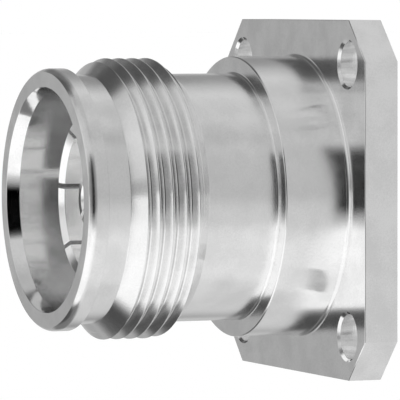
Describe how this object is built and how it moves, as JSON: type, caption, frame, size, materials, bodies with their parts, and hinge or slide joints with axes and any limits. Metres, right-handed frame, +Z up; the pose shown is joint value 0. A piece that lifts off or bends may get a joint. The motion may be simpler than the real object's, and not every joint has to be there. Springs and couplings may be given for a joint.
{
  "type": "flange-mount coaxial adapter",
  "caption": "Panel-mount coaxial jack with a square drilled flange, stepped round body, fine coupling thread, slotted spring contact in the mouth and a rear pin.",
  "frame": {"origin": "centre of the bolt holes, on the rear face of the flange", "axes": "+Y along the connector's axis, out of the flange's rear face; the mouth looks along -Y; +Z up and +X to the right, along the flange's sides"},
  "size_m": [0.0254, 0.0253, 0.0254],
  "materials": {
    "plated_body": "satin silver-grey plating on turned and milled brass",
    "plated_contact": "bright silver plating on a spring copper alloy",
    "insulator": "matt white fluoropolymer"
  },
  "bodies": {
    "root": {"body": "plated_body", "spring_basket": "plated_contact", "centre_contact": "plated_contact", "front_insulator": "insulator", "rear_insulator": "insulator"}
  },
  "joints": []
}
